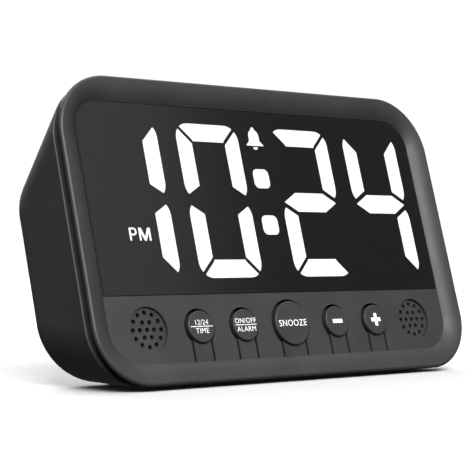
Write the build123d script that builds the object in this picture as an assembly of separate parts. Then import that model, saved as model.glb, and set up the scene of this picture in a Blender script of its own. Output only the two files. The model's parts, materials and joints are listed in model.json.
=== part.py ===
from build123d import *
import os
from math import atan2, cos, hypot, radians, sin

# A bedside digital alarm clock. All sizes are in millimetres.
#
# Everything in front of the base is drawn in the face frame: X runs to the right across
# the face, Y runs up the face and Z comes out of it towards the reader. Its origin is the
# middle of the display window's lower edge. The face then leans back by TILT.

# How far a cut runs past the surface it opens
PAST = 1.0

# Overall size
WIDTH = 149.3
TILT = 16.2
WINDOW_ABOVE_DESK = 26.4
FEET_HEIGHT = 1.0
FACE_TOP = 65.85
FACE_BOTTOM = -26.55
CORNER_TOP = 19.0
CORNER_BOTTOM = 17.5

# Rounded rim of the front cover
RIM_CREST = 2.57
RIM_OUTER_ROUND = 0.9
CREST_LAND = 0.05
SLOPE_START = 5.0
SLOPE_STEPS = 6
GROOVE_FRONT = 1.45
GROOVE_DEPTH = 2.0
GROOVE_BACK = -1.65
SKIRT_BACK = -4.0
SKIRT_WALL = 1.4
SKIRT_GAP = 0.1
PANEL_BACK = -2.2
ROOT_OVERLAP = 0.5

# Recessed panel that the rim slopes down to
PANEL_HALF_WIDTH = 68.05
PANEL_TOP = 58.75
PANEL_BOTTOM = -19.75
PANEL_CORNER_TOP = 9.5
PANEL_CORNER_BOTTOM = 10.5

# Display window and lens
WINDOW_HALF_WIDTH = 68.0
WINDOW_TOP = 58.7
WINDOW_CORNER = 9.5
WINDOW_LOW_CORNER = 0.6
LENS_FRONT = 0.1
LENS_BACK = -0.5
LENS_GAP = 0.25
LENS_LEDGE = 1.4
LENS_BEVEL = 0.15
LEDGE_CORNER_INSET = 1.0

# Display block
BLOCK_GAP = 0.3
BLOCK_BACK = -7.5
DIFFUSER_DEPTH = 1.2
CHIP_AREA = 6.0
LED_WIDTH = 1.6
LED_LENGTH = 0.8
LED_HEIGHT = 0.7
DIGIT_WIDTH = 24.4
DIGIT_HEIGHT = 48.4
DIGIT_BASE = 5.1
DIGIT_OUTER_EDGE = 62.75
DIGIT_INNER_EDGE = 31.1
SIDE_BAR = 5.7
END_BAR = 5.6
MIDDLE_BAR = 6.2
DIGIT_CORNER = 5.0
SEGMENT_GAP = 1.15
WAIST_GAP = 1.5
MITRE_START = 0.2
MITRE_END = 3.6
WAIST_TIP = 1.0
WAIST_HEIGHT = 2.4
DOT_WIDTH = 6.4
DOT_HEIGHT = 6.2
DOT_CORNER = 1.8
DOT_LEVELS = (21.7, 36.7)
BELL_BASE = 47.5
PM_LEFT = -54.7
PM_BASE = 16.5
PM_HEIGHT = 3.9
PM_STROKE = 0.66
PM_P_WIDTH = 2.7
PM_M_WIDTH = 4.2
PM_SPACE = 0.75
PM_SHOULDER = 0.95

# Digits shown, as the bars that are lit in each
SHOWN = ("bc", "abcdef", "abged", "fbgc")

# Keys
KEY_LEVEL = -9.7
KEY_PITCH_INNER = 18.75
KEY_PITCH_OUTER = 35.6
KEY_TOP = 1.05
KEY_EDGE_ROUND = 0.35
SMALL_KEY_RADIUS = 4.8
LARGE_KEY_RADIUS = 6.8
KEY_HOLE_GAP = 0.8
SLOT_WIDTH = 0.8
SMALL_TONGUE = 6.3
LARGE_TONGUE = 8.9
TONGUE_THICKNESS = 1.6
TONGUE_ROOT = -19.7
SEAT_CLEARANCE = 0.08
POST_RADIUS = 1.3
POST_TIP = -4.0
KEYS = (
    ("time", -KEY_PITCH_OUTER, SMALL_KEY_RADIUS, SMALL_TONGUE),
    ("alarm", -KEY_PITCH_INNER, SMALL_KEY_RADIUS, SMALL_TONGUE),
    ("snooze", 0.0, LARGE_KEY_RADIUS, LARGE_TONGUE),
    ("minus", KEY_PITCH_INNER, SMALL_KEY_RADIUS, SMALL_TONGUE),
    ("plus", KEY_PITCH_OUTER, SMALL_KEY_RADIUS, SMALL_TONGUE),
)

# Sound grilles
GRILLE_X = 54.0
GRILLE_RADIUS = 6.6
GRILLE_DEPTH = 0.9
GRILLE_HOLE = 0.72
GRILLE_RINGS = ((0.0, 1, 0.0), (2.5, 6, 0.0), (5.0, 12, 0.0))

# Tact switches and boards
STEM_GAP = 0.15
STEM_RADIUS = 1.75
STEM_LENGTH = 2.6
STEM_CLEARANCE = 0.06
STEM_BEVEL = 0.2
SWITCH_SIDE = 6.0
SWITCH_HEIGHT = 3.5
SWITCH_WELL = 2.4
SWITCH_CORNER = 0.5
KEY_BOARD_FRONT = -9.2
BOARD_THICKNESS = 1.2
KEY_BOARD_HALF_WIDTH = 62.0
KEY_BOARD_TOP = -1.8
KEY_BOARD_BOTTOM = -17.0
KEY_BOARD_CORNER = 2.0
BOARD_POST_X = 27.2
BOARD_POST_LEVELS = (-14.0, -5.0)
BOARD_POST_RADIUS = 1.8
LEG_SPREAD = 2.25
LEG_LENGTH = 0.5
LEG_WIDTH = 0.8
LEG_HEIGHT = 1.2
SOUNDER_RADIUS = 6.0
SOUNDER_HEIGHT = 5.2
SOUNDER_HOLE = 1.0
SOUNDER_HOLE_DEPTH = 1.5
SOUNDER_EDGE_ROUND = 0.6

# Parts on the back of the main board
PARTS_LEVEL = 40.0
CHIP_X = -45.0
CHIP_WIDTH = 7.5
CHIP_LENGTH = 10.0
CHIP_HEIGHT = 1.8
CHIP_STAND_OFF = 0.2
CHIP_LEGS = 8
CHIP_LEG_PITCH = 1.1
CHIP_LEG_LENGTH = 1.7
CHIP_LEG_WIDTH = 0.4
CRYSTAL_X = -33.0
CRYSTAL_WIDTH = 4.5
CRYSTAL_LENGTH = 10.2
CRYSTAL_HEIGHT = 3.4
CRYSTAL_END_ROUND = 2.2
CAN_RADIUS = 3.15
CAN_HEIGHT = 6.5
CAN_EDGE_ROUND = 0.5

# Rear cover
COVER_SIDE_INSET = 0.05
COVER_FRONT = -1.65
COVER_BACK = -29.4
COVER_TOP_FRONT = 65.0
COVER_TOP_BACK = 45.8
COVER_CORNER_FRONT = 18.5
COVER_CORNER_BACK = 20.0
COVER_LOW_CORNER_FRONT = 17.0
COVER_LOW_CORNER_BACK = 19.0
COVER_EDGE_ROUND = 7.0
COVER_LIP_ROUND = 0.4
COVER_WALL = 2.0
TOP_SLOPE = atan2(COVER_TOP_FRONT - COVER_TOP_BACK, COVER_FRONT - COVER_BACK)

# Screws between the covers
SCREW_X = 69.2
SCREW_LEVELS = (-5.0, 33.0)
BOSS_RADIUS = 2.6
BOSS_BACK = -12.0
PILOT_RADIUS = 1.0
CLEAR_RADIUS = 1.5
HEAD_RADIUS = 2.3
HEAD_HEIGHT = 1.6
WELL_RADIUS = 2.7
WELL_FLOOR = -22.0
POST_WALL_RADIUS = 3.8
BOSS_GAP = 0.05
HEAD_EDGE_ROUND = 0.6
THREAD_LENGTH = 7.0
DRIVE_WIDTH = 2.6
DRIVE_SLOT = 0.6
DRIVE_DEPTH = 0.9

# Battery bay in the rear cover, with three AAA cells lying side by side
CELL_RADIUS = 5.2
CELL_LENGTH = 43.3
CELL_TIP_RADIUS = 1.9
CELL_TIP = 1.0
CELL_PITCH = 10.9
CELL_COUNT = 3
CELL_GAP = 0.3
CELL_EDGE_ROUND = 0.4
BAY_MIDDLE = 14.0
BAY_HALF_WIDTH = 25.6
BAY_HALF_HEIGHT = 16.6
BAY_WALL = 1.4
BAY_FLOOR = -15.6
BAY_RIB = 1.0
DOOR_THICKNESS = 1.6
DOOR_LEDGE = 2.2
DOOR_GAP = 0.3
DOOR_CORNER = 1.5
DOOR_SEAT_GAP = 0.05
LATCH_WIDTH = 10.0
LATCH_REACH = 1.6
LATCH_THICKNESS = 1.2
GRIP_WIDTH = 12.0
GRIP_GROOVE = 0.8
GRIP_DEPTH = 0.5
GRIP_PITCH = 1.8
GRIP_COUNT = 4
HINGE_HALF_WIDTH = 9.0
HINGE_RELIEF = 1.1
HINGE_RELIEF_DEPTH = 0.65
CONTACT_THICKNESS = 0.4
CONTACT_WIDTH = 8.0
SPRING_RADIUS = 2.6
SPRING_WIRE = 0.3
SPRING_TURNS = 3

# Power socket
SOCKET_X = -46.0
SOCKET_LEVEL = 2.0
SOCKET_WIDTH = 9.0
SOCKET_HEIGHT = 3.3
SOCKET_DEPTH = 7.4
SOCKET_WALL = 0.3
SOCKET_FLOOR = 0.8
SOCKET_RECESS = 0.6
SOCKET_GAP = 0.15
SOCKET_TONGUE = 0.7
SOCKET_TONGUE_MARGIN = 1.3
SOCKET_BOARD_WIDTH = 13.0
SOCKET_BOARD_HEIGHT = 9.0
SOCKET_POST_SPREAD = 3.4
SOCKET_POST_RADIUS = 1.0

# Feet
FOOT_RADIUS = 4.0
FOOT_REACH = 5.0
FOOT_EDGE_ROUND = 0.4
FOOT_X = 48.0
FOOT_FRONT_Y = -1.0
FOOT_BACK_Y = 18.6

FACE_PLANE = Plane(
    origin=(0, 0, WINDOW_ABOVE_DESK),
    x_dir=(1, 0, 0),
    z_dir=(0, -cos(radians(TILT)), sin(radians(TILT))),
)
HALF_WIDTH = WIDTH / 2
UP = (Align.CENTER, Align.CENTER, Align.MIN)


def outline(half_width, top, bottom, top_corner, bottom_corner):
    """Flat rounded rectangle with its own radius at the top and at the bottom."""
    shape = Pos(0, (top + bottom) / 2) * Rectangle(2 * half_width, top - bottom)
    shape = fillet(shape.vertices().group_by(Axis.Y)[-1], top_corner)
    return fillet(shape.vertices().group_by(Axis.Y)[0], bottom_corner)


def face_outline(inset):
    """The rim's outline, drawn in by inset all round."""
    return outline(
        HALF_WIDTH - inset,
        FACE_TOP - inset,
        FACE_BOTTOM + inset,
        CORNER_TOP - inset,
        CORNER_BOTTOM - inset,
    )


def slab(shape, low, high):
    """A flat shape made solid from height low to height high."""
    return extrude(Pos(0, 0, low) * shape, high - low)


def rod(x, y, low, high, radius):
    """A round rod along Z."""
    return Pos(x, y, low) * Cylinder(radius, high - low, align=UP)


def block(x, y, low, high, width, height):
    """A rectangular block between two Z heights, centred on x and y."""
    return Pos(x, y, low) * Box(width, height, high - low, align=UP)


def base_level(z):
    """How far up the face frame the flat base lies, at depth z."""
    height = FEET_HEIGHT - WINDOW_ABOVE_DESK
    return (height - z * sin(radians(TILT))) / cos(radians(TILT))


def window_shape(inset, corner_inset):
    """The window opening, drawn in by inset, with square lower corners."""
    return outline(
        WINDOW_HALF_WIDTH - inset,
        WINDOW_TOP - inset,
        inset,
        WINDOW_CORNER - corner_inset,
        WINDOW_LOW_CORNER,
    )


# ---- Front cover ---------------------------------------------------------------------


def rim_contour(share):
    """Contour of the rim's inner side, from its crest at share 0 to its foot at share 1."""
    crest = RIM_OUTER_ROUND + CREST_LAND

    def between(start, end):
        return start + (end - start) * share

    return outline(
        between(HALF_WIDTH - crest, PANEL_HALF_WIDTH),
        between(FACE_TOP - crest, PANEL_TOP),
        between(FACE_BOTTOM + crest, PANEL_BOTTOM),
        between(CORNER_TOP - crest, PANEL_CORNER_TOP),
        between(CORNER_BOTTOM - crest, PANEL_CORNER_BOTTOM),
    )


def dish():
    """Hollow inside the rim, whose wall falls in one arc from the crest to the panel."""
    run = HALF_WIDTH - RIM_OUTER_ROUND - CREST_LAND - PANEL_HALF_WIDTH
    start = radians(SLOPE_START)
    end = 2 * atan2(RIM_CREST, run) - start
    radius = run / (sin(end) - sin(start))
    sections = []
    for step in range(SLOPE_STEPS + 1):
        angle = start + (end - start) * step / SLOPE_STEPS
        share = radius * (sin(angle) - sin(start)) / run
        height = RIM_CREST - radius * (cos(start) - cos(angle))
        sections.append(Pos(0, 0, height) * rim_contour(share))
    return loft(sections) + slab(rim_contour(0), RIM_CREST, RIM_CREST + PAST)


def rim():
    """Rounded rim with its floor, before the window and the key openings are cut."""
    body = slab(face_outline(0), PANEL_BACK, RIM_CREST)
    body = fillet(body.faces().sort_by(Axis.Z)[-1].edges(), RIM_OUTER_ROUND)
    body -= dish()
    around = face_outline(-PAST)
    groove = slab(around, GROOVE_BACK, GROOVE_FRONT)
    body -= groove - slab(face_outline(GROOVE_DEPTH), GROOVE_BACK, GROOVE_FRONT)
    body -= slab(around, PANEL_BACK - PAST, GROOVE_BACK) - mouth(SKIRT_GAP, PANEL_BACK)
    skirt = mouth(SKIRT_GAP, SKIRT_BACK) - mouth(SKIRT_GAP + SKIRT_WALL, SKIRT_BACK)
    return body + skirt


def mouth(gap, depth):
    """Solid that fills the mouth of the rear cover down to a depth, clear of its wall by gap."""
    inset = COVER_WALL + gap
    return cover_body(inset, inset, PAST) & slab(face_outline(0), depth, COVER_FRONT)


def grille_holes(x):
    """Shallow dish and the rings of small holes of one sound grille."""
    hollow = rod(x, KEY_LEVEL, -GRILLE_DEPTH, PAST, GRILLE_RADIUS)
    holes = []
    for radius, count, start in GRILLE_RINGS:
        for spot in PolarLocations(radius, count, start):
            place = spot.position
            holes.append(rod(x + place.X, KEY_LEVEL + place.Y, PANEL_BACK - PAST, 0, GRILLE_HOLE))
    return hollow, holes


def key_opening(x, radius, tongue):
    """Round hole, slots and root seat that one key works in."""
    hole = rod(x, KEY_LEVEL, PANEL_BACK - PAST, PAST, radius + KEY_HOLE_GAP)
    channel_height = KEY_LEVEL - TONGUE_ROOT
    channel_width = tongue + 2 * SLOT_WIDTH
    middle = TONGUE_ROOT + channel_height / 2
    channel = block(x, middle, PANEL_BACK - PAST, PAST, channel_width, channel_height)
    seat_radius = TONGUE_THICKNESS / 2 + SEAT_CLEARANCE
    seat = Rot(0, 90, 0) * Cylinder(seat_radius, channel_width)
    return hole + channel + Pos(x, TONGUE_ROOT, -TONGUE_THICKNESS / 2) * seat


def front_cover():
    """Front moulding: rim, key panel, lens ledge, grilles and screw bosses."""
    body = rim()
    body -= slab(window_shape(0, 0), LENS_BACK, PAST)
    body -= slab(window_shape(LENS_LEDGE, LEDGE_CORNER_INSET), PANEL_BACK - PAST, 0)
    for name, x, radius, tongue in KEYS:
        body -= key_opening(x, radius, tongue)
    for x in (-GRILLE_X, GRILLE_X):
        hollow, holes = grille_holes(x)
        body -= hollow
        body -= holes
    for x in (-SCREW_X, SCREW_X):
        for y in SCREW_LEVELS:
            body += rod(x, y, BOSS_BACK, PANEL_BACK + ROOT_OVERLAP, BOSS_RADIUS)
            body -= rod(x, y, BOSS_BACK - PAST, PANEL_BACK, PILOT_RADIUS)
        for y in BOARD_POST_LEVELS:
            post_x = BOARD_POST_X if x > 0 else -BOARD_POST_X
            body += rod(post_x, y, KEY_BOARD_FRONT, PANEL_BACK + ROOT_OVERLAP, BOARD_POST_RADIUS)
    return body


# ---- Keys and switches ---------------------------------------------------------------


def key(x, radius, tongue):
    """Raised disc on a springy tongue, with the post that works its switch."""
    disc = rod(x, KEY_LEVEL, -TONGUE_THICKNESS, KEY_TOP, radius)
    disc = fillet(disc.faces().sort_by(Axis.Z)[-1].edges(), KEY_EDGE_ROUND)
    length = KEY_LEVEL - TONGUE_ROOT
    strip = block(x, TONGUE_ROOT + length / 2, -TONGUE_THICKNESS, 0, tongue, length)
    nose = Rot(0, 90, 0) * Cylinder(TONGUE_THICKNESS / 2, tongue)
    nose = Pos(x, TONGUE_ROOT, -TONGUE_THICKNESS / 2) * nose
    post = rod(x, KEY_LEVEL, POST_TIP, -TONGUE_THICKNESS, POST_RADIUS)
    return disc + strip + nose + post


def switch_body(x):
    """Square tact switch body, open in front for its stem, with four legs."""
    back = KEY_BOARD_FRONT
    body = block(x, KEY_LEVEL, back, back + SWITCH_HEIGHT, SWITCH_SIDE, SWITCH_SIDE)
    body = fillet(body.edges().filter_by(Axis.Z), SWITCH_CORNER)
    front = back + SWITCH_HEIGHT
    body -= rod(x, KEY_LEVEL, front - SWITCH_WELL, front + PAST, STEM_RADIUS + STEM_CLEARANCE)
    for side in (-1, 1):
        for y in (-LEG_SPREAD, LEG_SPREAD):
            leg_x = x + side * (SWITCH_SIDE + LEG_LENGTH) / 2
            body += block(leg_x, KEY_LEVEL + y, back, back + LEG_HEIGHT, LEG_LENGTH, LEG_WIDTH)
    return body


def switch_stem(x):
    """Round plunger of a tact switch."""
    front = POST_TIP - STEM_GAP
    stem = rod(x, KEY_LEVEL, front - STEM_LENGTH, front, STEM_RADIUS)
    return chamfer(stem.faces().sort_by(Axis.Z)[-1].edges(), STEM_BEVEL)


def sounder():
    """Round buzzer behind one of the grilles, with its sound hole."""
    can = rod(-GRILLE_X, KEY_LEVEL, KEY_BOARD_FRONT, KEY_BOARD_FRONT + SOUNDER_HEIGHT, SOUNDER_RADIUS)
    can = fillet(can.faces().sort_by(Axis.Z)[-1].edges(), SOUNDER_EDGE_ROUND)
    top = KEY_BOARD_FRONT + SOUNDER_HEIGHT
    return can - rod(-GRILLE_X, KEY_LEVEL, top - SOUNDER_HOLE_DEPTH, top + PAST, SOUNDER_HOLE)


def key_board():
    """Lower circuit board, which carries the switches and the sounder."""
    middle = (KEY_BOARD_TOP + KEY_BOARD_BOTTOM) / 2
    height = KEY_BOARD_TOP - KEY_BOARD_BOTTOM
    board = block(0, middle, KEY_BOARD_FRONT - BOARD_THICKNESS, KEY_BOARD_FRONT,
                  2 * KEY_BOARD_HALF_WIDTH, height)
    return fillet(board.edges().filter_by(Axis.Z), KEY_BOARD_CORNER)


# ---- Display -------------------------------------------------------------------------


def strip_between(start, end, width):
    """Thin flat strip centred on the line from start to end, run on past both ends."""
    run_x = end[0] - start[0]
    run_y = end[1] - start[1]
    line = Line((start[0] - run_x, start[1] - run_y), (end[0] + run_x * 0.6, end[1] + run_y * 0.6))
    length = hypot(run_x, run_y) * 2.6
    middle = line @ 0.5
    angle = line.tangent_angle_at(0.5)
    return Pos(middle.X, middle.Y) * Rot(0, 0, angle) * Rectangle(length, width)


def digit_bars():
    """The seven bars of a digit as flat shapes by name, in a box with its corner at zero."""
    middle = DIGIT_HEIGHT / 2
    half = Pos(DIGIT_WIDTH / 2, middle / 2) * RectangleRounded(DIGIT_WIDTH, middle, DIGIT_CORNER)
    shape = half + Pos(0, middle) * half
    inner_width = DIGIT_WIDTH - 2 * SIDE_BAR
    inner_height = middle - END_BAR - MIDDLE_BAR / 2
    inner_middle = END_BAR + inner_height / 2
    for y in (inner_middle, DIGIT_HEIGHT - inner_middle):
        shape -= Pos(DIGIT_WIDTH / 2, y) * Rectangle(inner_width, inner_height)
    shape += Pos(DIGIT_WIDTH / 2, middle) * Rectangle(DIGIT_WIDTH - 2 * WAIST_TIP, WAIST_HEIGHT)
    for left in (True, False):
        for top in (True, False):
            def spot(x, y):
                return (x if left else DIGIT_WIDTH - x, y if top else DIGIT_HEIGHT - y)

            corner_end = spot(SIDE_BAR, DIGIT_HEIGHT - END_BAR)
            corner = strip_between(spot(0, DIGIT_HEIGHT), corner_end, SEGMENT_GAP)
            waist_end = spot(SIDE_BAR, middle + MITRE_END)
            waist = strip_between(spot(0, middle + MITRE_START), waist_end, WAIST_GAP)
            shape -= clip(corner, left)
            shape -= clip(waist, left)
    return name_bars(shape)


def clip(strip, left):
    """Keeps a mitre strip within its own side of the digit."""
    width = SIDE_BAR + 1.4
    x = width / 2 - 1.0 if left else DIGIT_WIDTH - width / 2 + 1.0
    return strip & (Pos(x, DIGIT_HEIGHT / 2) * Rectangle(width, DIGIT_HEIGHT + 4))


def name_bars(shape):
    """Names each separate bar by where its middle lies."""
    third = DIGIT_WIDTH / 2
    quarter = DIGIT_HEIGHT / 4
    spots = {
        "a": (third, 4 * quarter), "b": (DIGIT_WIDTH, 3 * quarter), "c": (DIGIT_WIDTH, quarter),
        "d": (third, 0), "e": (0, quarter), "f": (0, 3 * quarter), "g": (third, 2 * quarter),
    }
    bars = {}
    for name, (x, y) in spots.items():
        bars[name] = min(shape.faces(), key=lambda f: hypot(f.center().X - x, f.center().Y - y))
    return bars


def digit_places():
    """Left edge of each of the four digits."""
    return (
        -DIGIT_OUTER_EDGE,
        -DIGIT_INNER_EDGE,
        DIGIT_INNER_EDGE - DIGIT_WIDTH,
        DIGIT_OUTER_EDGE - DIGIT_WIDTH,
    )


def colon_shapes():
    """Two rounded dots between the hours and the minutes."""
    return [Pos(0, y) * RectangleRounded(DOT_WIDTH, DOT_HEIGHT, DOT_CORNER) for y in DOT_LEVELS]


def bell_shapes():
    """Small bell sign: body with a flared brim, and a clapper below it."""
    dome = Pos(0, BELL_BASE + 3.2) * Circle(2.1)
    body = Pos(0, BELL_BASE + 2.2) * Rectangle(4.2, 2.2)
    brim = Pos(0, BELL_BASE) * Polygon((-3.6, 0), (3.6, 0), (2.1, 1.6), (-2.1, 1.6), align=None)
    knob = Pos(0, BELL_BASE + 5.4) * Circle(0.7)
    clapper = Pos(0, BELL_BASE - 0.3) * Circle(1.0) & (Pos(0, BELL_BASE - 1.0) * Rectangle(4, 1.0))
    return [dome + body + brim + knob, clapper]


def letter_shapes():
    """The two letters that say afternoon."""
    low = (Align.MIN, Align.MIN)
    bowl_height = PM_HEIGHT * 0.6
    bowl = RectangleRounded(PM_P_WIDTH, bowl_height, 1.05, align=low)
    bowl += Rectangle(PM_P_WIDTH / 2, bowl_height, align=low)
    bowl -= Pos(PM_STROKE, PM_STROKE * 0.8) * RectangleRounded(
        PM_P_WIDTH - 2 * PM_STROKE, bowl_height - 1.6 * PM_STROKE, 0.35, align=low)
    letter_p = Pos(0, PM_HEIGHT - bowl_height) * bowl + Rectangle(PM_STROKE, PM_HEIGHT, align=low)
    middle = PM_M_WIDTH / 2
    letter_m = Polygon(
        (0, 0), (PM_STROKE, 0), (PM_STROKE, PM_HEIGHT * 0.62), (middle - 0.35, 0), (middle + 0.35, 0),
        (PM_M_WIDTH - PM_STROKE, PM_HEIGHT * 0.62), (PM_M_WIDTH - PM_STROKE, 0), (PM_M_WIDTH, 0),
        (PM_M_WIDTH, PM_HEIGHT), (PM_M_WIDTH - PM_SHOULDER, PM_HEIGHT), (middle, PM_HEIGHT * 0.3),
        (PM_SHOULDER, PM_HEIGHT), (0, PM_HEIGHT), align=None)
    places = (PM_LEFT, PM_LEFT + PM_P_WIDTH + PM_SPACE)
    return [Pos(x, PM_BASE) * letter for x, letter in zip(places, (letter_p, letter_m))]


def letter_chambers():
    """Middles of the small light chambers behind the foot of each letter."""
    return (
        (PM_LEFT + 0.9, PM_BASE + 0.8),
        (PM_LEFT + PM_P_WIDTH + PM_SPACE + 0.9, PM_BASE + 0.8),
    )


def display_shapes():
    """Every lit or dark shape of the display, as flat shapes grouped by node name."""
    bars = digit_bars()
    groups = {}
    for number, (left, shown) in enumerate(zip(digit_places(), SHOWN), 1):
        for name, bar in bars.items():
            state = "lit" if name in shown else "dark"
            placed = Pos(left, DIGIT_BASE) * bar
            groups.setdefault(f"digit_{number}_{state}", []).append(placed)
    groups["colon_lights"] = colon_shapes()
    groups["bell_light"] = bell_shapes()
    groups["pm_light"] = letter_shapes()
    return groups


def display_block(groups):
    """Black block behind the lens, with a light chamber for every shape of the display."""
    inset = LENS_LEDGE + BLOCK_GAP
    body = slab(window_shape(inset, LEDGE_CORNER_INSET + BLOCK_GAP), BLOCK_BACK, LENS_BACK)
    for name, shapes in groups.items():
        floor = LENS_BACK - DIFFUSER_DEPTH if name == "pm_light" else BLOCK_BACK - 1
        for shape in shapes:
            body -= slab(shape, floor, LENS_BACK + 1)
    for x, y in letter_chambers():
        body -= block(x, y, BLOCK_BACK - 1, LENS_BACK - DIFFUSER_DEPTH, 1.8, 1.4)
    return body


def diffusers(shapes):
    """Milky windows that close the light chambers of one group."""
    return Compound([slab(shape, LENS_BACK - DIFFUSER_DEPTH, LENS_BACK).solid() for shape in shapes])


def main_board():
    """Circuit board behind the display block."""
    shape = window_shape(LENS_LEDGE + BLOCK_GAP, LEDGE_CORNER_INSET + BLOCK_GAP)
    return slab(shape, BLOCK_BACK - BOARD_THICKNESS, BLOCK_BACK)


def led_chips(groups):
    """One small light chip on the board at the middle of every bar and dot."""
    front = BLOCK_BACK + LED_HEIGHT
    spots = list(letter_chambers())
    for name, shapes in groups.items():
        if name != "pm_light":
            spots += [(shape.center().X, shape.center().Y) for shape in shapes if shape.area > CHIP_AREA]
    return Compound([block(x, y, BLOCK_BACK, front, LED_WIDTH, LED_LENGTH).solid() for x, y in spots])


def lens():
    """Smoked window pane."""
    pane = slab(window_shape(LENS_GAP, LENS_GAP), LENS_BACK, LENS_FRONT)
    return chamfer(pane.faces().sort_by(Axis.Z)[-1].edges(), LENS_BEVEL)


def controller_chip():
    """Flat square chip with legs along two sides."""
    back = BLOCK_BACK - BOARD_THICKNESS
    body = block(CHIP_X, PARTS_LEVEL, back - CHIP_HEIGHT, back - CHIP_STAND_OFF, CHIP_WIDTH, CHIP_LENGTH)
    first = PARTS_LEVEL - CHIP_LEG_PITCH * (CHIP_LEGS - 1) / 2
    reach = (CHIP_WIDTH + CHIP_LEG_LENGTH) / 2 - CHIP_STAND_OFF
    for row in range(CHIP_LEGS):
        for side in (-1, 1):
            y = first + row * CHIP_LEG_PITCH
            leg_x = CHIP_X + side * reach
            body += block(leg_x, y, back - CHIP_HEIGHT / 2, back, CHIP_LEG_LENGTH, CHIP_LEG_WIDTH)
    return body


def power_capacitor():
    """Round can capacitor on the main board."""
    back = BLOCK_BACK - BOARD_THICKNESS
    can = rod(-CHIP_X, PARTS_LEVEL, back - CAN_HEIGHT, back, CAN_RADIUS)
    return fillet(can.faces().sort_by(Axis.Z)[0].edges(), CAN_EDGE_ROUND)


def clock_crystal():
    """Small round-ended crystal can that keeps the time."""
    back = BLOCK_BACK - BOARD_THICKNESS
    can = block(CRYSTAL_X, PARTS_LEVEL, back - CRYSTAL_HEIGHT, back, CRYSTAL_WIDTH, CRYSTAL_LENGTH)
    return fillet(can.edges().filter_by(Axis.Z), CRYSTAL_END_ROUND)


# ---- Rear cover ----------------------------------------------------------------------


def cover_body(inset, back_inset, edge_round):
    """Solid that fills the rear cover, drawn in by inset on its sides."""
    front = Pos(0, 0, COVER_FRONT) * outline(
        HALF_WIDTH - COVER_SIDE_INSET - inset,
        COVER_TOP_FRONT - inset / cos(TOP_SLOPE),
        base_level(COVER_FRONT) + inset / cos(radians(TILT)),
        COVER_CORNER_FRONT - inset,
        COVER_LOW_CORNER_FRONT - inset,
    )
    depth = COVER_BACK + back_inset
    share = (depth - COVER_FRONT) / (COVER_BACK - COVER_FRONT)
    back = Pos(0, 0, depth) * outline(
        HALF_WIDTH - COVER_SIDE_INSET - inset,
        COVER_TOP_FRONT + (COVER_TOP_BACK - COVER_TOP_FRONT) * share - inset / cos(TOP_SLOPE),
        base_level(depth) + inset / cos(radians(TILT)),
        COVER_CORNER_FRONT + (COVER_CORNER_BACK - COVER_CORNER_FRONT) * share - inset,
        COVER_LOW_CORNER_FRONT + (COVER_LOW_CORNER_BACK - COVER_LOW_CORNER_FRONT) * share - inset,
    )
    body = loft([front, back], ruled=True)
    return fillet(body.faces().sort_by(Axis.Z)[0].edges(), edge_round)


def door_shape(gap):
    """Outline of the battery door, drawn in by gap."""
    return Pos(0, BAY_MIDDLE) * RectangleRounded(
        2 * (BAY_HALF_WIDTH + DOOR_LEDGE - gap),
        2 * (BAY_HALF_HEIGHT + DOOR_LEDGE - gap),
        DOOR_CORNER,
    )


def hinge_level():
    """Height of the battery door's hinge line on the face frame."""
    return BAY_MIDDLE - BAY_HALF_HEIGHT - DOOR_LEDGE


def hinge_rod(radius, half_width):
    """Rod along the battery door's hinge line."""
    depth = COVER_BACK + DOOR_THICKNESS / 2
    return Pos(0, hinge_level(), depth) * Rot(0, 90, 0) * Cylinder(radius, 2 * half_width)


def cell_levels():
    """Height of each cell's axis."""
    first = BAY_MIDDLE - CELL_PITCH * (CELL_COUNT - 1) / 2
    return [first + CELL_PITCH * index for index in range(CELL_COUNT)]


def cell_depth():
    """Depth of the cells' axes."""
    return BAY_FLOOR - CELL_RADIUS - CELL_GAP


def rear_cover():
    """Rear shell with the battery bay, the screw posts and the socket hole."""
    body = cover_body(0, 0, COVER_EDGE_ROUND)
    lip = body.faces().sort_by(Axis.Z)[-1].edges()
    body = fillet(lip, COVER_LIP_ROUND)
    body -= cover_body(COVER_WALL, COVER_WALL, COVER_EDGE_ROUND - COVER_WALL)
    rib_width = 2 * (BAY_HALF_WIDTH + DOOR_LEDGE + BAY_RIB)
    rib_height = 2 * (BAY_HALF_HEIGHT + DOOR_LEDGE + BAY_RIB)
    outside = COVER_BACK - PAST
    body += block(0, BAY_MIDDLE, COVER_BACK + BAY_RIB, BAY_FLOOR + BAY_WALL, rib_width, rib_height)
    body -= block(0, BAY_MIDDLE, outside, BAY_FLOOR, 2 * BAY_HALF_WIDTH, 2 * BAY_HALF_HEIGHT)
    body -= slab(door_shape(0), outside, COVER_BACK + DOOR_THICKNESS + DOOR_SEAT_GAP)
    body -= hinge_rod(DOOR_THICKNESS / 2 + SEAT_CLEARANCE, HINGE_HALF_WIDTH + DOOR_GAP)
    relief_floor = COVER_BACK + HINGE_RELIEF_DEPTH
    relief_width = 2 * (BAY_HALF_WIDTH + DOOR_LEDGE)
    body -= block(0, hinge_level(), outside, relief_floor, relief_width, 2 * HINGE_RELIEF)
    for x in (-SCREW_X, SCREW_X):
        for y in SCREW_LEVELS:
            post = rod(x, y, COVER_BACK, BOSS_BACK - BOSS_GAP, POST_WALL_RADIUS)
            body += post & cover_body(0, 0, COVER_EDGE_ROUND)
            body -= rod(x, y, outside, WELL_FLOOR, WELL_RADIUS)
            body -= rod(x, y, outside, BOSS_BACK + PAST, CLEAR_RADIUS)
    for side in (-1, 1):
        y = SOCKET_LEVEL + side * SOCKET_POST_SPREAD
        body += rod(SOCKET_X, y, COVER_BACK + PAST, socket_board_level(), SOCKET_POST_RADIUS)
    body -= slab(socket_shape(SOCKET_GAP), outside, COVER_BACK + SOCKET_DEPTH)
    return body


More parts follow.
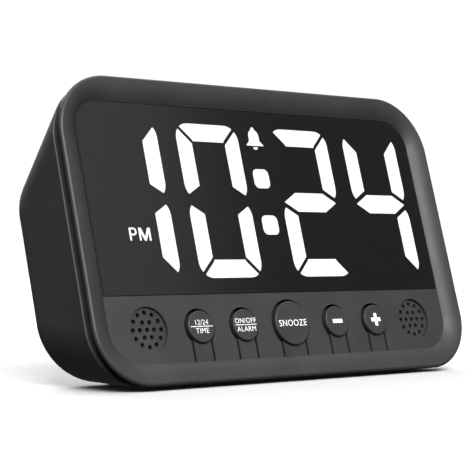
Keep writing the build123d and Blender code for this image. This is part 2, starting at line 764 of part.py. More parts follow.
def battery_door():
    """Flat door over the cells, with a round hinge nose below and a latch lip above."""
    door = slab(door_shape(DOOR_GAP), COVER_BACK, COVER_BACK + DOOR_THICKNESS)
    inside = COVER_BACK + DOOR_THICKNESS
    neck_level = hinge_level() + DOOR_THICKNESS / 2
    neck = block(0, neck_level, COVER_BACK, inside, 2 * HINGE_HALF_WIDTH, DOOR_THICKNESS)
    door += neck + hinge_rod(DOOR_THICKNESS / 2, HINGE_HALF_WIDTH)
    top = BAY_MIDDLE + BAY_HALF_HEIGHT
    latch = block(0, top - LATCH_REACH, inside, inside + LATCH_REACH, LATCH_WIDTH, LATCH_THICKNESS)
    grip = block(0, top - DOOR_LEDGE, COVER_BACK - PAST, COVER_BACK + GRIP_DEPTH, GRIP_WIDTH, GRIP_GROOVE)
    grips = [Pos(0, -GRIP_PITCH * index, 0) * grip for index in range(GRIP_COUNT)]
    return door + latch - grips


def battery_cell(index):
    """One AAA cell, its tip pointing the other way from its neighbour's."""
    side = 1 if index % 2 else -1
    level = cell_levels()[index]
    can = Cylinder(CELL_RADIUS, CELL_LENGTH)
    can = fillet(can.edges(), CELL_EDGE_ROUND)
    tip = rod(0, 0, CELL_LENGTH / 2 - CELL_EDGE_ROUND, CELL_LENGTH / 2 + CELL_TIP, CELL_TIP_RADIUS)
    shift = side * -CELL_TIP / 2
    return Pos(shift, level, cell_depth()) * Rot(0, 90 * side, 0) * (can + tip)


def contact_plates():
    """Spring-steel plates on the bay's end walls, one for each end of each cell."""
    plates = []
    for side in (-1, 1):
        x = side * (BAY_HALF_WIDTH - CONTACT_THICKNESS / 2)
        for level in cell_levels():
            depth = cell_depth() - CONTACT_WIDTH / 2
            plate = block(x, level, depth, depth + CONTACT_WIDTH, CONTACT_THICKNESS, CONTACT_WIDTH)
            plates.append(plate.solid())
    return Compound(plates)


def contact_springs():
    """Conical wire springs that press on the flat end of each cell."""
    springs = []
    for index, level in enumerate(cell_levels()):
        side = 1 if index % 2 else -1
        wall = side * -(BAY_HALF_WIDTH - CONTACT_THICKNESS)
        cell_end = side * -(CELL_LENGTH + CELL_TIP) / 2
        reach = abs(wall - cell_end) - 2 * SPRING_WIRE
        path = Helix(reach / SPRING_TURNS, reach, SPRING_RADIUS, cone_angle=0)
        profile = Plane(path @ 0, z_dir=path % 0) * Circle(SPRING_WIRE)
        coil = sweep(profile, path=path, is_frenet=True)
        place = Pos(wall + side * SPRING_WIRE, level, cell_depth()) * Rot(0, 90 * side, 0)
        springs.append((place * coil).solid())
    return Compound(springs)


def socket_shape(grow):
    """Flat round-ended outline of the power socket."""
    return Pos(SOCKET_X, SOCKET_LEVEL) * SlotOverall(SOCKET_WIDTH + 2 * grow, SOCKET_HEIGHT + 2 * grow)


def socket_board_level():
    """Depth of the face that the socket and its two posts stand against."""
    return COVER_BACK + SOCKET_RECESS + SOCKET_DEPTH


def power_socket():
    """Metal shell of the power socket with its contact tongue."""
    front = socket_board_level()
    mouth_level = COVER_BACK + SOCKET_RECESS
    shell = slab(socket_shape(0), mouth_level, front)
    shell -= slab(socket_shape(-SOCKET_WALL), COVER_BACK, front - SOCKET_FLOOR)
    width = SOCKET_WIDTH - 2 * SOCKET_TONGUE_MARGIN
    tongue = block(SOCKET_X, SOCKET_LEVEL, mouth_level + PAST, front, width, SOCKET_TONGUE)
    return shell + tongue


def socket_board():
    """Small board that holds the power socket inside the rear cover."""
    back = socket_board_level()
    front = back + BOARD_THICKNESS
    return block(SOCKET_X, SOCKET_LEVEL, back, front, SOCKET_BOARD_WIDTH, SOCKET_BOARD_HEIGHT)


# ---- Fasteners and feet --------------------------------------------------------------


def cover_screws():
    """Four self-tapping screws that hold the covers together."""
    screws = []
    for x in (-SCREW_X, SCREW_X):
        for y in SCREW_LEVELS:
            head = rod(x, y, WELL_FLOOR - HEAD_HEIGHT, WELL_FLOOR, HEAD_RADIUS)
            head = fillet(head.faces().sort_by(Axis.Z)[0].edges(), HEAD_EDGE_ROUND)
            shank = rod(x, y, WELL_FLOOR, BOSS_BACK + THREAD_LENGTH, PILOT_RADIUS)
            low = WELL_FLOOR - HEAD_HEIGHT - PAST
            high = WELL_FLOOR - HEAD_HEIGHT + DRIVE_DEPTH
            cross = block(x, y, low, high, DRIVE_WIDTH, DRIVE_SLOT)
            cross += block(x, y, low, high, DRIVE_SLOT, DRIVE_WIDTH)
            screws.append((head + shank - cross).solid())
    return Compound(screws)


def foot(x, y, housing):
    """Round rubber pad in the desk's own frame, its top shaped to the housing above it."""
    pad = rod(x, y, 0, FOOT_REACH, FOOT_RADIUS)
    pad = fillet(pad.faces().sort_by(Axis.Z)[0].edges(), FOOT_EDGE_ROUND)
    return (pad - housing).solids().sort_by(Axis.Z)[0]


# ---- Assembly ------------------------------------------------------------------------


def face_parts():
    """Every node that is drawn in the face frame."""
    groups = display_shapes()
    parts = {
        "front_cover": front_cover(),
        "rear_cover": rear_cover(),
        "display_lens": lens(),
        "display_block": display_block(groups),
        "main_board": main_board(),
        "key_board": key_board(),
        "led_chips": led_chips(groups),
        "controller_chip": controller_chip(),
        "clock_crystal": clock_crystal(),
        "power_capacitor": power_capacitor(),
        "sounder": sounder(),
        "battery_door": battery_door(),
        "contact_plates": contact_plates(),
        "contact_springs": contact_springs(),
        "power_socket": power_socket(),
        "socket_board": socket_board(),
        "cover_screws": cover_screws(),
    }
    for name, shapes in groups.items():
        parts[name] = diffusers(shapes)
    for name, x, radius, tongue in KEYS:
        parts[f"key_{name}"] = key(x, radius, tongue)
        parts[f"switch_body_{name}"] = switch_body(x)
        parts[f"switch_stem_{name}"] = switch_stem(x)
    for index in range(CELL_COUNT):
        parts[f"battery_cell_{index + 1}"] = battery_cell(index)
    return parts


def assembly():
    """All nodes in the desk's frame, centred over the origin."""
    placed = {name: FACE_PLANE.location * shape for name, shape in face_parts().items()}
    housing = FACE_PLANE.location * cover_body(0, 0, COVER_EDGE_ROUND)
    for side, side_name in ((-1, "left"), (1, "right")):
        for end_name, y in (("front", FOOT_FRONT_Y), ("back", FOOT_BACK_Y)):
            placed[f"foot_{end_name}_{side_name}"] = foot(side * FOOT_X, y, housing)
    box = Compound([s for part in placed.values() for s in part.solids()]).bounding_box()
    shift = Pos(-box.center().X, -box.center().Y, -box.min.Z)
    return {name: shift * part for name, part in placed.items()}, shift


def report_axes(shift):
    """Prints where the moving parts turn and slide, in metres."""
    placed = shift * FACE_PLANE.location
    lines = {f"key_{name}": (x, TONGUE_ROOT, -TONGUE_THICKNESS / 2) for name, x, radius, tongue in KEYS}
    lines["battery_door"] = (0, hinge_level(), COVER_BACK + DOOR_THICKNESS / 2)
    lines["face_origin"] = (0, 0, 0)
    for name, spot in lines.items():
        place = (placed * Pos(*spot)).position
        print(name, round(place.X / 1000, 6), round(place.Y / 1000, 6), round(place.Z / 1000, 6))


def main():
    os.makedirs("parts", exist_ok=True)
    parts, shift = assembly()
    for name, part in parts.items():
        export_step(part, f"parts/{name}.step")
    report_axes(shift)


main()
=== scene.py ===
import bpy
import bmesh
import json
from math import cos, pi, radians, sin
from mathutils import Matrix, Vector


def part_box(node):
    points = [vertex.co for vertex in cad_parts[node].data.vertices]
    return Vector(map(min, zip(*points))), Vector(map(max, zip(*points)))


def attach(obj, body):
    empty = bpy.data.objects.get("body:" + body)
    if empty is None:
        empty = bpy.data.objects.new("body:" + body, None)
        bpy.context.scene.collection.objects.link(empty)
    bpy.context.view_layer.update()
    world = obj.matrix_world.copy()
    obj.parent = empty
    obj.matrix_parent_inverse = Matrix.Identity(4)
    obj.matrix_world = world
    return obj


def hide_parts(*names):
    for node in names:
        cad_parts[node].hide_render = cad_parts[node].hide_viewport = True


# Looks of the bedside alarm clock. Lengths on the clock are in millimetres in its face frame:
# X runs to the right across the face, Y up the face and Z out of it, from the middle of the
# display window's lower edge. FACE takes that frame to the frame of the CAD model, in metres.
# The room, its lights and the floor are in metres in the frame of the CAD model.

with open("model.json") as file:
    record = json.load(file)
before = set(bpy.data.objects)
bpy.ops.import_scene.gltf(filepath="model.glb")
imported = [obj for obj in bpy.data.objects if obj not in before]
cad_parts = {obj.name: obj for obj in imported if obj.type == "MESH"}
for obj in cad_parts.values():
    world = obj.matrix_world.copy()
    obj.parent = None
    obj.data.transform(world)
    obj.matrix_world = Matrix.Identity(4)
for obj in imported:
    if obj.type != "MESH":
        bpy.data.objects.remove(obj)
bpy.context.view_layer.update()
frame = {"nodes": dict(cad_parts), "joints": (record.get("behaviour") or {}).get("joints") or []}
MM = 0.001
SHARP_ANGLE = 35

# Places taken from the part's source
KEY_LEVEL = -9.7
KEY_TOP = 1.05
HINGE_LEVEL = -19.7
HINGE_DEPTH = -0.8
KEY_PLACES = {"time": -35.6, "alarm": -18.75, "snooze": 0.0, "minus": 18.75, "plus": 35.6}
COVER_BACK = -29.4
BAY_MIDDLE = 14.0

# AAA cell, from its flat end to the stepped cap at the other
CELLS = (1, 2, 3)
CELL_RADIUS = 5.2
CELL_LENGTH = 43.3
FLAT_END_RADIUS = 3.4
FLAT_END_RIM = 3.9
CAP_SEAL_RADIUS = 2.6
CAP_FOOT_RADIUS = 2.15
CAP_RADIUS = 1.9
CAP_EDGE_RADIUS = 1.7
CAP_TOP_RADIUS = 1.4

# Window pane, a little thinner than the CAD pane so that it stays clear of the diffusers
WINDOW_HALF_WIDTH = 68.0
WINDOW_TOP = 58.7
WINDOW_CORNER = 9.5
LOW_CORNER = 0.6
PANE_GAP = 0.25
PANE_FRONT = 0.1
PANE_BACK = -0.4
PANE_BEVEL = 0.12
PANE_ALPHA = 0.62
PANE_SPECULAR = 0.5
PANE_ROUGH = 0.16
PANE_ROUGH_CHANGE = 0.015

# Milky windows of the lit segments: how bright they are, and how much more so in places
LIT_STRENGTH = 7.4
LIT_GAIN = 1.15

# Printed legends on the keys. The ends of a bar are rounded by a share of its shorter side.
PRINT_THICKNESS = 0.03
ROW_HEIGHT = 1.5
ROW_GAP = 0.5
RULE_WIDTH = 8.2
RULE_HEIGHT = 0.22
SNOOZE_HEIGHT = 1.95
SNOOZE_SQUEEZE = 0.96
SIGN_SPAN = 4.1
SIGN_BAR = 1.25
BAR_END_ROUND = 0.12

# Lettering in the font's own units, where a line is 1 high
LETTER_WEIGHT = 0.001
LETTER_SPACING = 1.08
LETTER_EXTRUDE = 0.01

# Arrow on the battery door: its shaft, head and height above the door
ARROW_RISE = 6.0
SHAFT_HALF_WIDTH = 0.6
SHAFT_LENGTH = 3
HEAD_HALF_WIDTH = 2.2
HEAD_LENGTH = 2.6
ARROW_RELIEF = 0.25
ARROW_ROOT = 0.1
ARROW_BEVEL = 0.08

# Camera: its place in millimetres from the face frame's origin along the CAD model's axes,
# its heading right of +Y and its climb in degrees, and its lens and sensor in millimetres
CAMERA_PLACE = (-326.8, -361.5, 13.2)
CAMERA_HEADING = 40.33
CAMERA_CLIMB = 0.515
CAMERA_LENS = 122.3
SENSOR_WIDTH = 36

# Room: its brightness below the horizon and high up, the upward part of a direction where the
# change between them starts and ends, and the brightness of the backdrop that the camera sees
ROOM_LOW = 0.08
ROOM_HIGH = 0.22
ROOM_CHANGE = (-0.25, 0.35)
BACKDROP = 1.05

# Floor: half its width, and the darker and lighter grey of its grain
FLOOR_HALF_WIDTH = 1.5
FLOOR_DARK = (0.60, 0.60, 0.60)
FLOOR_LIGHT = (0.62, 0.62, 0.62)

# Softboxes: name, place, the point it faces, width, height, and power in watts. The window
# pane mirrors the third, and the last lights the floor behind the clock.
SOFTBOXES = (
    ("overhead", (0.45, 0.35, 1.25), (0, 0, 0), 1.4, 1.4, 10),
    ("front", (-0.46, -0.88, 0.75), (0, 0, 0.04), 0.8, 0.6, 27),
    ("mirrored", (0.25, -0.95, 0.69), (0, 0, 0.04), 1.1, 0.8, 2.6),
    ("behind", (0.8, 2.0, 1.4), (0.7, 1.4, 0), 2.4, 1.8, 80),
)


# ---- Frames and small mesh helpers -----------------------------------------------------


def joint(name):
    """The record's joint of that name."""
    return next(j for j in frame["joints"] if j["name"] == name)


def face_frame():
    """Matrix from the face frame in millimetres to the CAD model's frame in metres."""
    inward = Vector(joint("stem_snooze_travel")["axis"])
    out = -inward.normalized()
    right = Vector((1, 0, 0))
    up = out.cross(right)
    axes = Matrix((right, up, out)).transposed()
    hinge = Vector(joint("key_snooze_press")["pos_m"])
    origin = hinge - axes @ Vector((0, HINGE_LEVEL, HINGE_DEPTH)) * MM
    return Matrix.Translation(origin) @ axes.to_4x4() @ Matrix.Scale(MM, 4)


FACE = face_frame()


def new_object(name, mesh, material, matrix=FACE):
    """Links a mesh drawn in the given frame, with its vertices in the CAD model's frame."""
    mesh.transform(matrix)
    mesh.materials.clear()
    mesh.materials.append(material)
    item = bpy.data.objects.new(name, mesh)
    bpy.context.scene.collection.objects.link(item)
    return item


def mesh_from(build):
    """Mesh filled in by a function that works on a bmesh, with its normals outwards."""
    work = bmesh.new()
    build(work)
    bmesh.ops.recalc_face_normals(work, faces=work.faces)
    mesh = bpy.data.meshes.new("mesh")
    work.to_mesh(mesh)
    work.free()
    return mesh


def smooth(item):
    """Smooth shading, with edges sharper than SHARP_ANGLE left sharp."""
    item.data.shade_smooth()
    item.data.set_sharp_from_angle(angle=radians(SHARP_ANGLE))
    return item


def arc(middle, radius, start, end, steps):
    """Points on an arc, angles in degrees."""
    points = []
    for step in range(steps + 1):
        angle = radians(start + (end - start) * step / steps)
        points.append((middle[0] + radius * cos(angle), middle[1] + radius * sin(angle)))
    return points


def rounded_outline(left, right, bottom, top, low_radius, high_radius, steps=12):
    """Closed outline of a rectangle with round corners, anticlockwise."""
    corners = (
        (right - low_radius, bottom + low_radius, low_radius, -90),
        (right - high_radius, top - high_radius, high_radius, 0),
        (left + high_radius, top - high_radius, high_radius, 90),
        (left + low_radius, bottom + low_radius, low_radius, 180),
    )
    points = []
    for x, y, radius, start in corners:
        points += arc((x, y), radius, start, start + 90, steps)
    return points


def prism(work, outline, low, high):
    """Adds a closed flat-ended solid with that outline between two heights."""
    bottom = [work.verts.new((x, y, low)) for x, y in outline]
    top = [work.verts.new((x, y, high)) for x, y in outline]
    work.faces.new(list(reversed(bottom)))
    work.faces.new(top)
    count = len(outline)
    for i in range(count):
        j = (i + 1) % count
        work.faces.new((bottom[i], bottom[j], top[j], top[i]))


def lathe(work, profile, steps=48):
    """Adds a solid turned about X from (x, radius) points, closed at both ends."""
    rings = []
    for x, radius in profile:
        ring = []
        for step in range(steps):
            angle = 2 * pi * step / steps
            ring.append(work.verts.new((x, radius * cos(angle), radius * sin(angle))))
        rings.append(ring)
    for first, second in zip(rings, rings[1:]):
        for i in range(steps):
            j = (i + 1) % steps
            work.faces.new((first[i], first[j], second[j], second[i]))
    work.faces.new(rings[0])
    work.faces.new(list(reversed(rings[-1])))


# ---- Materials -------------------------------------------------------------------------


class Nodes:
    """A material's node tree, with short calls for the nodes used here."""

    def __init__(self, name):
        self.material = bpy.data.materials.new(name)
        self.material.use_nodes = True
        self.tree = self.material.node_tree
        self.tree.nodes.clear()
        self.output = self.tree.nodes.new("ShaderNodeOutputMaterial")
        self.place = self.tree.nodes.new("ShaderNodeTexCoord").outputs["Object"]

    def link(self, source, target):
        self.tree.links.new(source, target)

    def shader(self, **values):
        """The Principled shader, with plain values on its own sockets."""
        node = self.tree.nodes.new("ShaderNodeBsdfPrincipled")
        for key, value in values.items():
            node.inputs[key.replace("_", " ")].default_value = value
        self.link(node.outputs[0], self.output.inputs["Surface"])
        return node

    def noise(self, size, detail=2.0, roughness=0.5, stretch=None):
        """Noise with features of a size in millimetres."""
        node = self.tree.nodes.new("ShaderNodeTexNoise")
        node.inputs["Scale"].default_value = 1 / (size * MM)
        node.inputs["Detail"].default_value = detail
        node.inputs["Roughness"].default_value = roughness
        source = self.place
        if stretch:
            mapping = self.tree.nodes.new("ShaderNodeMapping")
            mapping.inputs["Scale"].default_value = stretch
            self.link(self.place, mapping.inputs["Vector"])
            source = mapping.outputs["Vector"]
        self.link(source, node.inputs["Vector"])
        return node.outputs["Fac"]

    def ramp(self, factor, low, high, start=0.3, end=0.7):
        """Value from low to high as the factor goes from start to end."""
        node = self.tree.nodes.new("ShaderNodeMapRange")
        node.inputs["From Min"].default_value = start
        node.inputs["From Max"].default_value = end
        node.inputs["To Min"].default_value = low
        node.inputs["To Max"].default_value = high
        self.link(factor, node.inputs["Value"])
        return node.outputs["Result"]

    def blend(self, factor, first, second):
        """Colour between two, each a plain colour or a socket."""
        node = self.tree.nodes.new("ShaderNodeMix")
        node.data_type = "RGBA"
        self.link(factor, node.inputs["Factor"])
        for name, colour in (("A", first), ("B", second)):
            self.fill(node.inputs[name], colour)
        return node.outputs["Result"]

    def fill(self, socket, colour):
        """Sets a colour input to a colour, or links it to a socket."""
        if isinstance(colour, tuple):
            socket.default_value = (*colour, 1)
        else:
            self.link(colour, socket)

    def sum(self, first, second, weight):
        """First plus weight times second."""
        node = self.tree.nodes.new("ShaderNodeMath")
        node.operation = "MULTIPLY_ADD"
        self.link(second, node.inputs[0])
        node.inputs[1].default_value = weight
        self.link(first, node.inputs[2])
        return node.outputs[0]

    def above(self, value, limit):
        """1 where the value is past the limit, 0 elsewhere."""
        node = self.tree.nodes.new("ShaderNodeMath")
        node.operation = "GREATER_THAN"
        self.link(value, node.inputs[0])
        node.inputs[1].default_value = limit
        return node.outputs[0]

    def bump(self, height, depth):
        """Normal from a height, for a relief of that depth in millimetres."""
        node = self.tree.nodes.new("ShaderNodeBump")
        node.inputs["Distance"].default_value = depth * MM
        self.link(height, node.inputs["Height"])
        return node.outputs["Normal"]


def moulded_plastic(name, dark, light, rough, grain=0.16, depth=0.006, specular=0.5):
    """Satin moulded plastic with a spark-eroded grain, soft patches and faint scuffs."""
    n = Nodes(name)
    shader = n.shader(Specular_IOR_Level=specular)
    patches = n.noise(14, 3, 0.6)
    speckle = n.noise(0.35, 2, 0.6)
    tone = n.blend(n.ramp(n.sum(patches, speckle, 0.25), 0, 1, 0.45, 0.8), dark, light)
    n.link(tone, shader.inputs["Base Color"])
    scuffs = n.noise(2.2, 4, 0.7, (1, 0.25, 1))
    n.link(n.ramp(n.sum(patches, scuffs, 0.6), rough - 0.05, rough + 0.05, 0.5, 1.1),
           shader.inputs["Roughness"])
    relief = n.sum(n.noise(grain, 3, 0.6), n.noise(grain * 3, 2), 0.6)
    n.link(n.bump(relief, depth), shader.inputs["Normal"])
    return n.material


def smoked_acrylic():
    """Smoked pane that lets the lit bars through and mirrors the room softly."""
    n = Nodes("smoked_acrylic")
    shader = n.shader(Base_Color=(0.006, 0.006, 0.007, 1), Alpha=PANE_ALPHA, IOR=1.49,
                      Specular_IOR_Level=PANE_SPECULAR)
    haze = n.noise(3.0, 3, 0.6)
    rough = n.ramp(haze, PANE_ROUGH - PANE_ROUGH_CHANGE, PANE_ROUGH + PANE_ROUGH_CHANGE)
    n.link(rough, shader.inputs["Roughness"])
    n.link(n.bump(n.noise(9, 2), 0.004), shader.inputs["Normal"])
    return n.material


def lit_diffuser():
    """Milky resin lit from behind, a touch brighter in soft patches."""
    n = Nodes("lit_diffuser")
    shader = n.shader(Base_Color=(0.8, 0.8, 0.8, 1), Roughness=0.5,
                      Emission_Color=(1, 1, 1, 1))
    strength = n.ramp(n.noise(6, 1), LIT_STRENGTH, LIT_STRENGTH * LIT_GAIN)
    n.link(strength, shader.inputs["Emission Strength"])
    n.material.cycles.emission_sampling = "NONE"
    return n.material


def circuit_board():
    """Green soldermask over laminate, with a faint weave and copper runs."""
    n = Nodes("circuit_board")
    shader = n.shader(Roughness=0.35, Coat_Weight=0.3, Coat_Roughness=0.2)
    runs = n.above(n.noise(1.4, 0, 0.5, (1, 0.12, 0.12)), 0.56)
    n.link(n.blend(runs, (0.01, 0.09, 0.035), (0.02, 0.16, 0.05)), shader.inputs["Base Color"])
    n.link(n.bump(n.sum(runs, n.noise(0.4), 0.15), 0.03), shader.inputs["Normal"])
    return n.material


def bright_metal(name, colour, rough, grain, stretch, depth=0.004):
    """Plated metal with drawn or turned lines and slight tarnish."""
    n = Nodes(name)
    shader = n.shader(Metallic=1.0)
    tarnish = n.noise(3.5, 4, 0.6)
    dull = tuple(c * 0.72 for c in colour)
    n.link(n.blend(n.ramp(tarnish, 0, 1), colour, dull), shader.inputs["Base Color"])
    lines = n.noise(grain, 3, 0.6, stretch)
    n.link(n.ramp(n.sum(lines, tarnish, 0.5), rough - 0.07, rough + 0.1, 0.5, 1.0),
           shader.inputs["Roughness"])
    n.link(n.bump(lines, depth), shader.inputs["Normal"])
    return n.material


def printed_ink(name, colour):
    """Pad-printed ink: matt, with tiny worn spots."""
    n = Nodes(name)
    shader = n.shader()
    worn = n.noise(0.09, 3, 0.7)
    faded = tuple(c * 0.82 for c in colour)
    n.link(n.blend(n.ramp(worn, 0, 1, 0.62, 0.75), colour, faded), shader.inputs["Base Color"])
    n.link(n.ramp(worn, 0.45, 0.65), shader.inputs["Roughness"])
    n.link(n.bump(worn, 0.003), shader.inputs["Normal"])
    return n.material


def rubber():
    """Soft black rubber with a chalky bloom and fine pores."""
    n = Nodes("rubber_black")
    shader = n.shader()
    bloom = n.noise(1.6, 4, 0.65)
    n.link(n.blend(n.ramp(bloom, 0, 1), (0.012, 0.012, 0.012), (0.035, 0.034, 0.033)),
           shader.inputs["Base Color"])
    n.link(n.ramp(bloom, 0.75, 0.95), shader.inputs["Roughness"])
    n.link(n.bump(n.noise(0.12, 2, 0.7), 0.012), shader.inputs["Normal"])
    return n.material


HOUSING = moulded_plastic("housing_plastic", (0.023, 0.023, 0.0235), (0.029, 0.029, 0.0295), 0.5,
                          specular=0.42)
KEY_PLASTIC = moulded_plastic("key_plastic", (0.022, 0.022, 0.0225), (0.028, 0.028, 0.0285), 0.48,
                              specular=0.42)
PANE = smoked_acrylic()
BLOCK = moulded_plastic("light_block", (0.006, 0.006, 0.006), (0.009, 0.009, 0.009), 0.8,
                        specular=0.2)
DARK_BARS = moulded_plastic("dark_diffuser", (0.007, 0.007, 0.007), (0.010, 0.010, 0.010), 0.7,
                            specular=0.2)
LIT = lit_diffuser()
BOARD = circuit_board()
CHIP = moulded_plastic("chip_black", (0.012, 0.012, 0.012), (0.02, 0.02, 0.021), 0.5, grain=0.08)
LED = moulded_plastic("led_white", (0.75, 0.74, 0.66), (0.85, 0.84, 0.76), 0.3, grain=0.05)
TINNED = bright_metal("tinned_steel", (0.62, 0.62, 0.61), 0.3, 0.25, (1, 0.06, 0.06))
NICKEL = bright_metal("nickel_steel", (0.68, 0.66, 0.61), 0.25, 0.2, (0.08, 1, 1))
ZINC = bright_metal("zinc_steel", (0.16, 0.16, 0.17), 0.38, 0.15, (1, 1, 1))
CAN = bright_metal("can_aluminium", (0.72, 0.73, 0.75), 0.28, 0.3, (1, 0.05, 0.05))
JACKET = moulded_plastic("cell_jacket", (0.10, 0.11, 0.13), (0.13, 0.14, 0.16), 0.28,
                         grain=0.5, depth=0.002)
SWITCH = moulded_plastic("switch_plastic", (0.014, 0.014, 0.014), (0.024, 0.024, 0.024), 0.5,
                         grain=0.1)
RUBBER = rubber()
INK = printed_ink("white_ink", (0.83, 0.83, 0.82))

NODE_MATERIALS = {
    "front_cover": HOUSING, "rear_cover": HOUSING, "battery_door": HOUSING,
    "display_lens": PANE, "display_block": BLOCK, "main_board": BOARD, "key_board": BOARD,
    "socket_board": BOARD, "led_chips": LED, "controller_chip": CHIP, "clock_crystal": TINNED,
    "power_capacitor": CAN, "sounder": CHIP, "contact_plates": NICKEL, "contact_springs": NICKEL,
    "power_socket": TINNED, "cover_screws": ZINC, "colon_lights": LIT, "bell_light": LIT,
    "pm_light": LIT,
}
PREFIX_MATERIALS = {
    "digit_": LIT, "key_": KEY_PLASTIC, "switch_": SWITCH, "battery_cell_": JACKET, "foot_": RUBBER,
}


def node_material(name):
    """The material of one CAD node."""
    if name in NODE_MATERIALS:
        return NODE_MATERIALS[name]
    if name.endswith("_dark"):
        return DARK_BARS
    return next(m for prefix, m in PREFIX_MATERIALS.items() if name.startswith(prefix))


def dress_nodes():
    """Gives every CAD node its material."""
    for name, item in frame["nodes"].items():
        item.data.materials.clear()
        item.data.materials.append(node_material(name))


# ---- Window pane -----------------------------------------------------------------------


def window_pane():
    """Smoked pane with softened edges."""
    half = WINDOW_HALF_WIDTH - PANE_GAP

    def build(work):
        outline = rounded_outline(-half, half, PANE_GAP, WINDOW_TOP - PANE_GAP,
                                  LOW_CORNER - PANE_GAP, WINDOW_CORNER - PANE_GAP, 16)
        prism(work, outline, PANE_BACK, PANE_FRONT)
        front = [e for e in work.edges if all(v.co.z > PANE_FRONT - 0.01 for v in e.verts)]
        bmesh.ops.bevel(work, geom=front, offset=PANE_BEVEL, segments=3, affect="EDGES")

    pane = smooth(new_object("window_pane", mesh_from(build), PANE))
    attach(pane, "housing")
    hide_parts("display_lens")


# ---- Keys ------------------------------------------------------------------------------


def lettering(name, text, height, squeeze, middle, level):
    """Printed word on a key's top, centred on middle, with its foot at level and that high."""
    curve = bpy.data.curves.new(name, "FONT")
    curve.body = text
    curve.align_x = "CENTER"
    curve.size = 1.0
    curve.offset = LETTER_WEIGHT
    curve.space_character = LETTER_SPACING
    curve.extrude = LETTER_EXTRUDE
    curve.resolution_u = 6
    draft = bpy.data.objects.new(name, curve)
    bpy.context.scene.collection.objects.link(draft)
    bpy.context.view_layer.update()
    graph = bpy.context.evaluated_depsgraph_get()
    mesh = bpy.data.meshes.new_from_object(draft.evaluated_get(graph))
    bpy.data.objects.remove(draft)
    top = max(v.co.y for v in mesh.vertices)
    bottom = min(v.co.y for v in mesh.vertices)
    scale = height / (top - bottom)
    thick = PRINT_THICKNESS / (2 * LETTER_EXTRUDE)
    mesh.transform(Matrix.Diagonal((scale * squeeze, scale, thick, 1)))
    place = (middle, level - bottom * scale, KEY_TOP + PRINT_THICKNESS / 2)
    mesh.transform(Matrix.Translation(place))
    return new_object(name, mesh, INK)


def printed_bar(name, middle, level, width, height):
    """Printed bar with slightly rounded ends."""
    def build(work):
        round_end = min(width, height) * BAR_END_ROUND
        outline = rounded_outline(middle - width / 2, middle + width / 2, level - height / 2,
                                  level + height / 2, round_end, round_end, 4)
        prism(work, outline, KEY_TOP, KEY_TOP + PRINT_THICKNESS)

    return new_object(name, mesh_from(build), INK)


def printed_plus(name, middle, level):
    """Printed plus sign."""
    def build(work):
        arm, bar = SIGN_SPAN / 2, SIGN_BAR / 2
        corners = [(arm, bar), (bar, bar), (bar, arm)]
        outline = []
        for c, s in ((1, 0), (0, 1), (-1, 0), (0, -1)):
            outline += [(middle + x * c - y * s, level + x * s + y * c) for x, y in corners]
        prism(work, outline, KEY_TOP, KEY_TOP + PRINT_THICKNESS)

    return new_object(name, mesh_from(build), INK)


def two_row_legend(key, upper, lower):
    """Two generic function words with a rule between them."""
    middle = KEY_PLACES[key]
    return [
        lettering(f"legend_{key}_upper", upper, ROW_HEIGHT, 1.0, middle, KEY_LEVEL + ROW_GAP),
        printed_bar(f"legend_{key}_rule", middle, KEY_LEVEL, RULE_WIDTH, RULE_HEIGHT),
        lettering(f"legend_{key}_lower", lower, ROW_HEIGHT, 1.0, middle,
                  KEY_LEVEL - ROW_GAP - ROW_HEIGHT),
    ]


def legends():
    """All printing on the keys, each piece riding on its key."""
    snooze = lettering("legend_snooze", "SNOOZE", SNOOZE_HEIGHT, SNOOZE_SQUEEZE,
                       KEY_PLACES["snooze"], KEY_LEVEL - SNOOZE_HEIGHT / 2)
    pieces = {
        "time": two_row_legend("time", "12/24", "TIME"),
        "alarm": two_row_legend("alarm", "ON/OFF", "ALARM"),
        "snooze": [snooze],
        "minus": [printed_bar("legend_minus", KEY_PLACES["minus"], KEY_LEVEL, SIGN_SPAN,
                              SIGN_BAR)],
        "plus": [printed_plus("legend_plus", KEY_PLACES["plus"], KEY_LEVEL)],
    }
    for key, items in pieces.items():
        for item in items:
            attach(item, f"key_{key}")


# ---- Back ------------------------------------------------------------------------------


def battery_cell(index):
    """AAA cell with a rolled jacket, bright ends and a stepped positive cap.

    Both profiles hold (place along the cell, radius) points.
    """
    low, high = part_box(f"battery_cell_{index}")
    middle = (low + high) / 2
    tip_side = -1 if index % 2 else 1
    half = (high.x - low.x) / 2 / MM
    end = -half + CELL_LENGTH
    jacket = [
        (-half + 0.25, CELL_RADIUS - 0.55), (-half, CELL_RADIUS - 0.35),
        (-half + 0.08, CELL_RADIUS - 0.05), (-half + 0.4, CELL_RADIUS), (end - 0.6, CELL_RADIUS),
        (end - 0.15, CELL_RADIUS - 0.1), (end, CELL_RADIUS - 0.5), (end - 0.3, CELL_RADIUS - 0.8),
    ]
    core = [
        (-half + 0.12, FLAT_END_RADIUS), (-half + 0.05, FLAT_END_RIM),
        (-half + 0.1, CELL_RADIUS - 0.4), (end - 0.35, CELL_RADIUS - 0.45),
        (end - 0.4, CAP_SEAL_RADIUS), (end - 0.1, CAP_FOOT_RADIUS), (half - 0.2, CAP_RADIUS),
        (half - 0.03, CAP_EDGE_RADIUS), (half, CAP_TOP_RADIUS),
    ]
    turned = Matrix.Diagonal((tip_side, tip_side, 1, 1))
    place = Matrix.Translation(middle) @ turned @ Matrix.Scale(MM, 4)
    jacket_mesh = mesh_from(lambda work: lathe(work, jacket))
    core_mesh = mesh_from(lambda work: lathe(work, core))
    wrap = smooth(new_object(f"cell_{index}_jacket", jacket_mesh, JACKET, place))
    can = smooth(new_object(f"cell_{index}_can", core_mesh, NICKEL, place))
    for item in (wrap, can):
        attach(item, "housing")
    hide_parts(f"battery_cell_{index}")


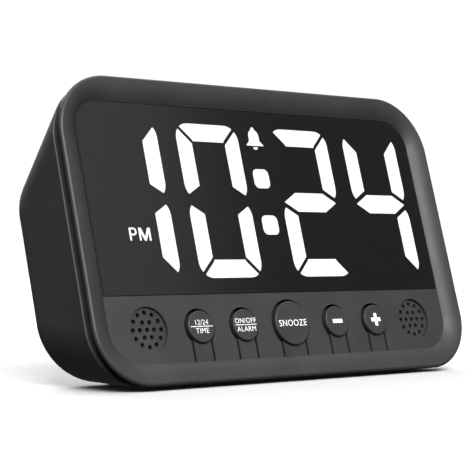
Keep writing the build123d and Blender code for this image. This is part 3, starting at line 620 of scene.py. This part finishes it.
def door_arrow():
    """Raised arrow on the battery door that shows where to press."""
    level = BAY_MIDDLE + ARROW_RISE
    shaft, head = SHAFT_HALF_WIDTH, HEAD_HALF_WIDTH
    outline = [
        (-shaft, level - SHAFT_LENGTH), (shaft, level - SHAFT_LENGTH), (shaft, level),
        (head, level), (0, level + HEAD_LENGTH), (-head, level), (-shaft, level),
    ]

    def build(work):
        prism(work, outline, COVER_BACK - ARROW_RELIEF, COVER_BACK + ARROW_ROOT)
        outer = [e for e in work.edges if all(v.co.z < COVER_BACK for v in e.verts)]
        bmesh.ops.bevel(work, geom=outer, offset=ARROW_BEVEL, segments=2, affect="EDGES")

    arrow = smooth(new_object("door_arrow", mesh_from(build), HOUSING))
    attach(arrow, "battery_door")


# ---- Room ------------------------------------------------------------------------------


def floor():
    """Plain pale floor under the clock."""
    def build(work):
        bmesh.ops.create_grid(work, x_segments=8, y_segments=8, size=FLOOR_HALF_WIDTH)

    n = Nodes("pale_floor")
    shader = n.shader(Specular_IOR_Level=0.1, Roughness=0.9)
    grain = n.noise(40, 3)
    n.link(n.blend(n.ramp(grain, 0, 1), FLOOR_DARK, FLOOR_LIGHT), shader.inputs["Base Color"])
    item = new_object("floor", mesh_from(build), n.material, Matrix.Identity(4))
    item.visible_diffuse = False
    item.visible_glossy = False


def soft_light(name, place, target, width, height, power):
    """Rectangular softbox that faces a point."""
    lamp = bpy.data.lights.new(name, "AREA")
    lamp.shape = "RECTANGLE"
    lamp.size = width
    lamp.size_y = height
    lamp.energy = power
    item = bpy.data.objects.new(name, lamp)
    item.location = place
    item.rotation_euler = (Vector(target) - Vector(place)).to_track_quat("-Z", "Y").to_euler()
    bpy.context.scene.collection.objects.link(item)


def room_light():
    """White backdrop for the camera, and a dimmer room that fades below the horizon."""
    world = bpy.data.worlds.new("studio")
    bpy.context.scene.world = world
    world.use_nodes = True
    tree = world.node_tree
    tree.nodes.clear()
    output = tree.nodes.new("ShaderNodeOutputWorld")
    place = tree.nodes.new("ShaderNodeTexCoord")
    split = tree.nodes.new("ShaderNodeSeparateXYZ")
    rise = tree.nodes.new("ShaderNodeMapRange")
    rise.interpolation_type = "SMOOTHSTEP"
    rise.inputs["From Min"].default_value = ROOM_CHANGE[0]
    rise.inputs["From Max"].default_value = ROOM_CHANGE[1]
    rise.inputs["To Min"].default_value = ROOM_LOW
    rise.inputs["To Max"].default_value = ROOM_HIGH
    room = tree.nodes.new("ShaderNodeBackground")
    backdrop = tree.nodes.new("ShaderNodeBackground")
    backdrop.inputs["Strength"].default_value = BACKDROP
    path = tree.nodes.new("ShaderNodeLightPath")
    mix = tree.nodes.new("ShaderNodeMixShader")
    links = tree.links
    links.new(place.outputs["Generated"], split.inputs[0])
    links.new(split.outputs["Z"], rise.inputs["Value"])
    links.new(rise.outputs["Result"], room.inputs["Strength"])
    links.new(path.outputs["Is Camera Ray"], mix.inputs["Fac"])
    links.new(room.outputs[0], mix.inputs[1])
    links.new(backdrop.outputs[0], mix.inputs[2])
    links.new(mix.outputs[0], output.inputs["Surface"])
    for background in (room, backdrop):
        background.inputs["Color"].default_value = (1, 1, 1, 1)


def camera():
    """Camera at the left of the clock, close to the level of its display's lower edge."""
    data = bpy.data.cameras.new("camera")
    data.lens = CAMERA_LENS
    data.sensor_width = SENSOR_WIDTH
    item = bpy.data.objects.new("camera", data)
    item.location = FACE.translation + Vector(CAMERA_PLACE) * MM
    item.rotation_euler = (radians(90 + CAMERA_CLIMB), 0, radians(-CAMERA_HEADING))
    bpy.context.scene.collection.objects.link(item)
    bpy.context.scene.camera = item


dress_nodes()
window_pane()
legends()
for number in CELLS:
    battery_cell(number)
door_arrow()
floor()
room_light()
for softbox in SOFTBOXES:
    soft_light(*softbox)
camera()
bpy.context.scene.view_settings.view_transform = "Standard"
